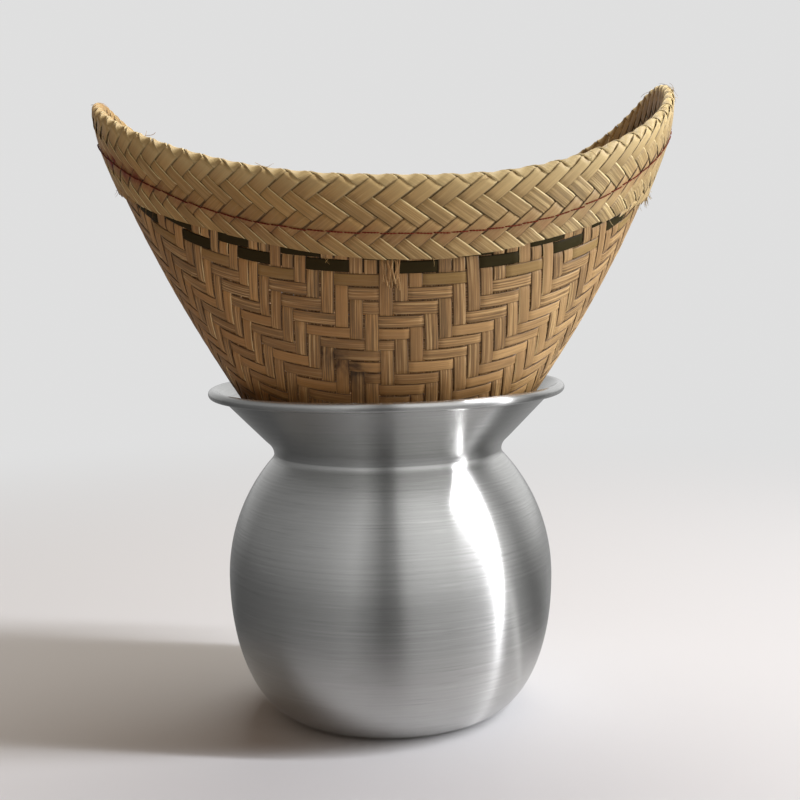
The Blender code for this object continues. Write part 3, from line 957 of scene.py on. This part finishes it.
def plait(grid, thickness, random):
    """Two sets of strips on the bias in a 2 and 2 twill, folded over the rim and cut at the band's edge."""
    slant = math.atan(2 * PLAIT_CELL / PLAIT_SPACING)
    width = PLAIT_SPACING * math.sin(slant) * PLAIT_SHARE
    cells = np.arange(-PLAIT_CELLS, PLAIT_CELLS + 1)
    crossings = cells * PLAIT_CELL
    leg = np.arange(0, PLAIT_REACH, RUN_STEP)
    over_ridge = np.arange(RIDGE_FROM, RIDGE_TO, RIDGE_STEP)
    strips = {"up": [], "down": []}
    for family, lean in (("up", -1.0), ("down", 1.0)):
        signs = np.where(np.isin(cells % 4, (1, 2)) == (family == "up"), 1.0, -1.0)
        for number in range(grid.count):

            def grid_at(k, start_w=number * PLAIT_SPACING, lean=lean):
                return np.stack([start_w + lean * k / math.tan(slant), k], -1)

            ends = []
            for way in (-1, 1):
                laid = grid.lay(grid_at(way * leg))
                past = np.abs(laid[:, 1]) >= grid.border.depth_of_edge(laid[:, 0])
                ends.append(way * leg[np.argmax(past)])
            places = section_places(*ends, crossings, signs, PLAIT_CELL)
            places = np.unique(np.round(np.r_[places, over_ridge], 5))
            places = places[np.r_[True, np.diff(places) > RIDGE_APART]]
            # Sections lie along the strips that cross, and turn level towards both trimmed ends
            from_end = np.minimum(places - places[0], places[-1] - places) / math.sin(slant)
            level = 1 - smooth(from_end / TRIM_BLEND)
            u, v = grid.lay(grid_at(places)).T
            gape, stain_and_painted_light, tone_and_painted_light, ribbed = plait_looks(grid.border, family, u, v, random)
            # Over the ridge the strips are pressed flat
            lift = lifts(places, crossings, signs, PLAIT_CELL) * (1 - 0.35 * near(v, 0.0, 0.004))
            strip = {
                "middle": grid_at(places),
                "side": (math.sin(slant), -lean * math.cos(slant)),
                "ahead": (lean * math.cos(slant), math.sin(slant)),
                "shear": lean * ((1 - level) / math.tan(2 * slant) + level / math.tan(slant)),
                "width": width * (1 + wander(random, places, 0.02)) * (1 - GAPE * gape),
                "thickness": thickness * random.uniform(0.85, 1.1),
                "lift": PLAIT_LIFT * lift,
                "roll": wander(random, places, 0.014, 0.03) + GAPE_ROLL * gape * (family == "up"),
                "along": places / math.sin(slant),
                "stain_and_painted_light": stain_and_painted_light,
                # Painted highlight: the strips that run down to the right get a pale upper edge, which faces
                # the light
                "pale": 1 if family == "down" else 0,
                "tone_and_painted_light": tone_and_painted_light,
                "lined": ribbed * random.uniform(0.7, 1.25),
                "seed": random.uniform(0, 90),
            }
            strips[family].append(strip)
    return strips


def loose_fibres(border, random):
    """Fibres that stand away from the border's edge and its ridge, most of them towards the right tip."""
    fibres = []
    run = np.linspace(0, 1, 7)
    for _ in range(LOOSE_FIBRES):
        start = random.choice((random.uniform(-0.5, 0.5), random.normal(0.22, 0.05))) * border.around
        deep = border.depth_of_edge(np.array([start]))[0]
        at_edge = random.random() < 0.7
        first = deep - random.uniform(0.0, 0.003) if at_edge else random.uniform(-0.002, 0.006)
        way = random.normal(0.0, 0.9) if at_edge else random.uniform(-2.6, 2.6)
        length = random.uniform(0.35, 1.3) * FIBRE_REACH
        bend = way + random.normal(0.0, 0.8) * run
        ahead = np.stack([np.sin(bend), np.cos(bend)], -1)
        fibre = {
            "middle": np.array([start, first]) + np.cumsum(ahead, axis=0) * length / 6,
            "side": np.stack([np.cos(bend), -np.sin(bend)], -1),
            "ahead": ahead,
            "width": FIBRE * (1.3 - 0.8 * run),
            "thickness": FIBRE * (1.0 - 0.6 * run),
            "lift": 0.0006 + random.uniform(0.1, 0.9) * 0.004 * run**1.5,
            "along": run * length,
            "tone_and_painted_light": random.uniform(0.4, 0.8),
            "lined": 0.0,
            "seed": random.uniform(0, 90),
        }
        fibres.append(fibre)
    return fibres


# Stitching


def thread_depth(border, u):
    """How far from the ridge the thread runs: a little nearer to it at the tips."""
    return THREAD_DEPTH - THREAD_RISE * np.sin(2 * math.pi * u / border.around) ** 2


def dye_strength(border, u):
    """Faint everywhere, and strong where the thread was wetted, near the left tip."""
    turned = (u + border.around / 2) % border.around - border.around / 2
    return 0.42 + 0.90 * near(turned, DYE_PLACE, 0.030)


def stitched_thread(name, border, side, random, material):
    """Two plies twisted together and sewn round the border. Each stitch dives into the strips at its ends."""
    count = round(border.around / STITCH)
    pitch = border.around / count
    share = np.linspace(0, 1, STITCH_STEPS + 1)
    u = (np.arange(count)[:, None] + 0.01 + 0.98 * share) * pitch
    slant = (share - 0.5) * random.normal(0.0003, 0.0003, (count, 1))
    drift = random.normal(0, 0.00014, (count, 1))
    flat = np.stack([u, side * (thread_depth(border, u) + slant + drift)], -1)
    dive = np.abs(2 * share - 1) ** 14
    lift = np.broadcast_to(THREAD_LIFT * (1 - dive) + THREAD_DIVE * dive, u.shape)
    middle = border.place(flat, lift)
    up = unit(border.place(flat, lift + 0.001) - middle)
    across = np.cross(unit(np.gradient(middle, axis=1)), up)
    length = (np.arange(count)[:, None] + share) * pitch
    points, grain = [], []
    for ply in (0, 1):
        turn = 2 * math.pi * length / PLY_LAY + math.pi * ply
        core = middle + PLY_OFFSET * (np.cos(turn)[..., None] * up + np.sin(turn)[..., None] * across)
        for at in np.linspace(0, 2 * math.pi, PLY_SIDES, endpoint=False):
            points.append(core + PLY_RADIUS * (math.cos(at) * up + math.sin(at) * across))
            grain.append(np.stack([length / MM, 0 * length + at, 0 * length + 7.0 * ply], -1))
    index = np.arange(2 * PLY_SIDES * u.size).reshape(2, PLY_SIDES, *u.shape)
    after = np.roll(index, -1, axis=1)
    quads = np.stack([index[..., :-1], index[..., 1:], after[..., 1:], after[..., :-1]], -1)
    faces = quads.reshape(-1, 4).tolist()
    for end, flip in ((0, 1), (-1, -1)):
        faces.extend(index[:, ::flip, :, end].transpose(0, 2, 1).reshape(-1, PLY_SIDES).tolist())
    mesh = bpy.data.meshes.new(name)
    mesh.from_pydata(np.stack(points).reshape(-1, 3).tolist(), [], faces)
    store(mesh, "grain", "FLOAT_VECTOR", "vector", np.stack(grain))
    mesh.shade_smooth()
    return add_item(name, mesh, material)


# Pot


def softened(before, corner, after, cut, steps):
    """The corner replaced by a quadratic curve that starts and ends `cut` away from it."""
    corner = np.array(corner)
    start = corner + cut * unit(np.array(before) - corner)
    end = corner + cut * unit(np.array(after) - corner)
    at = np.linspace(0, 1, steps + 1)[:, None]
    return (1 - at) ** 2 * start + 2 * at * (1 - at) * corner + at**2 * end


def pot_profile():
    """(radius, height) points from the middle of the inside, up and over the bead, and down to the base."""
    bead = np.array((MOUTH_DIAMETER / 2 - BEAD_RADIUS, POT_HEIGHT - BEAD_RADIUS))
    neck = np.array((NECK_RADIUS, NECK_TOP))
    along = unit(bead - neck)
    outward = np.array((along[1], -along[0]))
    depth = BEAD_RADIUS - SHEET
    mouth = bead - outward * depth - along * math.sqrt(BEAD_RADIUS**2 - depth**2)
    arc_centre = BELLY_RADIUS - SHOULDER_ARC_RADIUS
    crease_height = BELLY_HEIGHT + math.sqrt(SHOULDER_ARC_RADIUS**2 - (NECK_RADIUS - arc_centre) ** 2)
    crease = (NECK_RADIUS, crease_height)
    crease_angle = math.asin((crease_height - BELLY_HEIGHT) / SHOULDER_ARC_RADIUS)
    shoulder = [
        (
            arc_centre + SHOULDER_ARC_RADIUS * math.cos(angle),
            BELLY_HEIGHT + SHOULDER_ARC_RADIUS * math.sin(angle),
        )
        for angle in np.linspace(crease_angle, 0, 28)
    ]
    flare = np.linspace(mouth, neck + NECK_SOFTENING * along, 12)
    outer = [*flare[:-1], *softened(mouth, neck, crease, NECK_SOFTENING, 8)]
    outer.extend(softened(neck, crease, shoulder[1], CREASE_SOFTENING, 6))
    outer.extend(shoulder[1:])
    power = 2 / BELLY_SQUARENESS
    for angle in np.linspace(0, math.pi / 2, 40)[1:]:
        reach = math.cos(angle) ** power
        drop = math.sin(angle) ** power
        radius = BASE_FLAT_RADIUS + (BELLY_RADIUS - BASE_FLAT_RADIUS) * reach
        outer.append((radius, BELLY_HEIGHT * (1 - drop)))
    outer = np.array(outer)
    ahead = unit(np.diff(outer, axis=0))
    tangent = unit(np.vstack([ahead[:1], ahead[:-1] + ahead[1:], (ahead[-1] + (-1, 0))[None]]))
    inner = (outer + SHEET * np.column_stack([tangent[:, 1], -tangent[:, 0]]))[::-1]
    last = 2 * math.pi - math.acos(depth / BEAD_RADIUS)
    rolled = [
        bead + BEAD_RADIUS * (along * math.sin(angle) - outward * math.cos(angle))
        for angle in np.linspace(0, last, 25)[:-1]
    ]
    return [(0.0, SHEET), *inner[:-1], *rolled, *outer, (0.0, 0.0)]


# Settings, operators and the panel


def colour_setting(name, description, text):
    return bpy.props.FloatVectorProperty(
        name=name, description=description, default=linear(text), size=3, min=0.0, max=1.0, subtype="COLOR"
    )


def number_setting(name, description, default, **limits):
    return bpy.props.FloatProperty(name=name, description=description, default=default, min=0.0, **limits)


class PotSettings(bpy.types.PropertyGroup):
    colour: colour_setting("Aluminium", "Colour that the metal gives its reflections", "#cbcbc9")
    steps: bpy.props.IntProperty(
        name="Steps", description="Facets round the pot", default=POT_STEPS, min=48, max=512
    )


class BasketSettings(bpy.types.PropertyGroup):
    wall: colour_setting("Wall", "Split bamboo of the wall", "#bd9b69")
    border: colour_setting("Border", "Thinner split bamboo of the border", "#c0a875")
    skin: colour_setting("Skin", "Dark courses with the skin left on", "#3a3418")
    thread: colour_setting("Thread", "Dyed cotton of the stitching", "#742c12")
    wall_thickness: number_setting("Wall strip", "Thickness of a wall strip", STRIP_THICKNESS)
    border_thickness: number_setting("Border strip", "Thickness of a border strip", PLAIT_THICKNESS)


class StageSettings(bpy.types.PropertyGroup):
    paper: colour_setting("Paper", "Floor of the studio", "#d9dadc")
    backdrop: number_setting("Backdrop", "Brightness behind, 1 is white", 0.74, max=1.0)
    key: number_setting("Key", "Power of the tall lamp on the right", 108.0, unit="POWER")
    top: number_setting("Top", "Power of the broad lamp overhead", 21.0, unit="POWER")
    shade: number_setting("Shade", "Light that comes from all sides", 0.145, max=1.0)


def made_piece(item, body, slot, *nodes):
    """Puts a finished piece on its body in place of its CAD nodes. The slot is not used."""
    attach(item, body)
    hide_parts(*nodes)


class STEAMER_OT_spin_pot(bpy.types.Operator):
    """Spin the aluminium pot from its profile"""

    bl_idname = "steamer.spin_pot"
    bl_label = "Spin pot"

    def execute(self, context):
        profile = pot_profile()
        mesh = bpy.data.meshes.new("spun_pot")
        edges = [(index, index + 1) for index in range(len(profile) - 1)]
        mesh.from_pydata([(radius, 0.0, height) for radius, height in profile], edges, [])
        settings = context.scene.steamer_pot
        pot = add_item("spun_pot", mesh, spun_aluminium(settings.colour))
        spin = pot.modifiers.new("spin", "SCREW")
        spin.steps = spin.render_steps = settings.steps
        spin.use_merge_vertices = True
        spin.merge_threshold = 0.00001
        spin.use_smooth_shade = True
        made_piece(pot, "pot", "aluminium", "pot_body")
        return {"FINISHED"}


class STEAMER_OT_weave_wall(bpy.types.Operator):
    """Weave the wall's two sets of strips"""

    bl_idname = "steamer.weave_wall"
    bl_label = "Weave wall"

    def execute(self, context):
        settings = context.scene.steamer_basket
        mat = Mat()
        random = seeded(11)
        rows = weave_rows(mat, random)
        stakes = weave_stakes(mat, random)
        skin = bamboo_skin(settings.skin)
        for name, strips, dark in (("front", rows, (0, 1)), ("back", stakes, DARK_STAKES[::-1])):
            for level, number in zip(("upper", "lower"), dark):
                course = dict(strips.pop(number), tone_and_painted_light=0.35, lined=0.1)
                course["thickness"] *= settings.wall_thickness
                item = ribbon_mesh(f"skin_course_{name}_{level}", [course], mat, skin)
                made_piece(item, "basket", "bamboo_skin", f"dark_course_{name}_{level}")
        rows, stakes = list(rows.values()), list(stakes.values())
        pieces = {
            "wall_rows_high": rows[: len(rows) // 2],
            "wall_rows_low": rows[len(rows) // 2 :],
            "wall_stakes_middle": [*stakes[: len(stakes) // 2], *splice(random)],
            "wall_stakes_sides": stakes[len(stakes) // 2 :],
        }
        plain = wall_bamboo(settings.wall)
        for name, strips in pieces.items():
            for strip in strips:
                strip["thickness"] *= settings.wall_thickness
            made_piece(ribbon_mesh(name, strips, mat, plain), "basket", "wall_bamboo", "basket_wall")
        return {"FINISHED"}


class STEAMER_OT_plait_border(bpy.types.Operator):
    """Plait the border's strips and fold them over the rim"""

    bl_idname = "steamer.plait_border"
    bl_label = "Plait border"

    def execute(self, context):
        settings = context.scene.steamer_basket
        border = Border()
        grid = Plait(border)
        material = border_bamboo(settings.border)
        items = [
            ribbon_mesh(f"border_strips_{family}", strips, grid, material)
            for family, strips in plait(grid, settings.border_thickness, seeded(23)).items()
        ]
        items.append(ribbon_mesh("border_fibres", loose_fibres(border, seeded(41)), border, material))
        for item in items:
            made_piece(item, "basket", "band_bamboo", "rim_band")
        return {"FINISHED"}


class STEAMER_OT_sew_thread(bpy.types.Operator):
    """Sew the border to the wall with red thread, outside and inside"""

    bl_idname = "steamer.sew_thread"
    bl_label = "Sew thread"

    def execute(self, context):
        border = Border()
        random = seeded(31)
        material = dyed_cotton(context.scene.steamer_basket.thread)
        for place, side in (("outer", 1), ("inner", -1)):
            item = stitched_thread(f"sewn_thread_{place}", border, side, random, material)
            made_piece(item, "basket", "red_thread", f"stitch_thread_{place}")
        return {"FINISHED"}


class STEAMER_OT_set_stage(bpy.types.Operator):
    """Set the floor, the lamps, the world and the camera"""

    bl_idname = "steamer.set_stage"
    bl_label = "Set stage"

    def execute(self, context):
        settings = context.scene.steamer_stage
        lay_floor(settings)
        light_world(context.scene, settings)
        add_lamp("key_strip", KEY_PLACE, KEY_SIZE, settings.key, "#fbfbff")
        add_lamp("overhead", TOP_PLACE, TOP_SIZE, settings.top, "#fffcf4")
        place_camera(context.scene)
        context.scene.view_settings.view_transform = "Standard"
        return {"FINISHED"}


def room_light(tree, place):
    """What the metal sees on the side where this place or direction lies."""
    x, y, _ = add_node(tree, "SeparateXYZ", (place,)).node.outputs
    forward = add_node(tree, "Math", (y, -1.0), operation="MULTIPLY")
    turn = add_node(tree, "Math", (x, forward), operation="ARCTAN2")
    share = add_node(tree, "MapRange", (turn, -math.pi, math.pi, 0.0, 1.0))
    stops = [((angle + 180) / 360, grey(light)) for angle, light in ROOM_LIGHT]
    return set_ramp(add_node(tree, "ValToRGB", (share,)), *stops)


def lay_floor(settings):
    """Pale paper that keeps the shadow and passes into the background further out."""
    mesh = bpy.data.meshes.new("floor")
    form = bmesh.new()
    bmesh.ops.create_circle(form, cap_ends=True, segments=96, radius=FLOOR_RADIUS)
    form.to_mesh(mesh)
    form.free()
    material, tree, shader = new_material("pale_studio_paper")
    set_sockets(tree, shader, {"Base Color": shade(settings.paper), "Roughness": 0.85})
    place = add_node(tree, "TexCoord", output="Object")
    away = add_node(tree, "VectorMath", (place,), "Value", operation="LENGTH")
    rays = add_node(tree, "LightPath").node.outputs
    metal = rays["Is Glossy Ray"]
    sees = add_node(tree, "Math", (rays["Is Camera Ray"], rays["Is Transmission Ray"]), operation="MAXIMUM")
    # The camera sees the paper pass into the background slowly, and the metal sees the room close by
    shares = []
    for seen, (close, out) in ((sees, CAMERA_FADE), (metal, METAL_FADE)):
        fade = add_node(tree, "MapRange", (away, close, out), interpolation_type="SMOOTHSTEP")
        shares.append(add_node(tree, "Math", (fade, seen), operation="MULTIPLY"))
    far = add_node(tree, "Math", shares, operation="MAXIMUM")
    colours = {"data_type": "RGBA", "blend_type": "MULTIPLY"}
    dimmed = add_node(tree, "Mix", {0: 1.0, 6: room_light(tree, place), 7: grey(FLOOR_LIGHT)}, 2, **colours)
    view = add_node(tree, "Mix", {0: metal, 6: grey(settings.backdrop), 7: dimmed}, 2, data_type="RGBA")
    glow = add_node(tree, "Emission", (view, 1.0))
    both = add_node(tree, "MixShader", (far, shader.outputs[0], glow))
    set_sockets(tree, tree.nodes["Material Output"], {"Surface": both})
    add_item("floor", mesh, material)


def light_world(scene, settings):
    """A pale background to the camera, a room that is brighter on the right to the metal, and a warm dim
    light from all sides to everything else."""
    world = bpy.data.worlds.new("studio")
    scene.world = world
    world.use_nodes = True
    tree = world.node_tree
    rays = add_node(tree, "LightPath").node.outputs
    room = room_light(tree, add_node(tree, "TexCoord", output="Generated"))
    plain = grey(settings.backdrop)
    colour = shade(linear("#ffcb9a"), settings.shade)
    for seen, light in (("Is Glossy Ray", room), ("Is Transmission Ray", plain), ("Is Camera Ray", plain)):
        colour = add_node(tree, "Mix", {0: rays[seen], 6: colour, 7: light}, 2, data_type="RGBA")
    set_sockets(tree, tree.nodes["Background"], {"Color": colour})


def add_lamp(name, place, size, power, colour):
    lamp = bpy.data.lights.new(name, "AREA")
    lamp.shape = "RECTANGLE"
    lamp.size, lamp.size_y = size
    lamp.energy = power
    lamp.color = linear(colour)
    item = add_item(name, lamp)
    item.location = place
    item.rotation_euler = (Vector(LAMP_TARGET) - item.location).to_track_quat("-Z", "Y").to_euler()


def place_camera(scene):
    data = bpy.data.cameras.new("camera")
    data.lens = CAMERA_LENS
    data.sensor_width = 36.0
    camera = add_item("camera", data)
    turn = Matrix.Rotation(-CAMERA_TURN, 4, "Z")
    camera.location = turn @ Vector((CAMERA_SIDE, -CAMERA_DISTANCE, CAMERA_HEIGHT))
    pitch = Matrix.Rotation(math.pi / 2 - CAMERA_PITCH, 4, "X")
    roll = Matrix.Rotation(-CAMERA_ROLL, 4, "Z")
    camera.rotation_euler = (turn @ pitch @ roll).to_euler()
    scene.camera = camera


class STEAMER_PT_panel(bpy.types.Panel):
    """Lists the steps of the steamer"""

    bl_label = "Sticky rice steamer"
    bl_space_type = "VIEW_3D"
    bl_region_type = "UI"
    bl_category = "Steamer"

    def draw(self, context):
        for name, group in SETTINGS.items():
            for setting in group.__annotations__:
                self.layout.prop(getattr(context.scene, name), setting)
        for operator in OPERATORS:
            self.layout.operator(operator.bl_idname)


OPERATORS = (
    STEAMER_OT_spin_pot,
    STEAMER_OT_weave_wall,
    STEAMER_OT_plait_border,
    STEAMER_OT_sew_thread,
    STEAMER_OT_set_stage,
)
SETTINGS = {"steamer_pot": PotSettings, "steamer_basket": BasketSettings, "steamer_stage": StageSettings}
CLASSES = (*SETTINGS.values(), *OPERATORS, STEAMER_PT_panel)


def register():
    for made in CLASSES:
        bpy.utils.register_class(made)
    for name, group in SETTINGS.items():
        setattr(bpy.types.Scene, name, bpy.props.PointerProperty(type=group))


def unregister():
    for name in SETTINGS:
        delattr(bpy.types.Scene, name)
    for made in reversed(CLASSES):
        bpy.utils.unregister_class(made)


def main():
    register()
    bpy.ops.steamer.spin_pot()
    bpy.ops.steamer.weave_wall()
    bpy.ops.steamer.plait_border()
    bpy.ops.steamer.sew_thread()
    bpy.ops.steamer.set_stage()


if __name__ == "__main__":
    main()
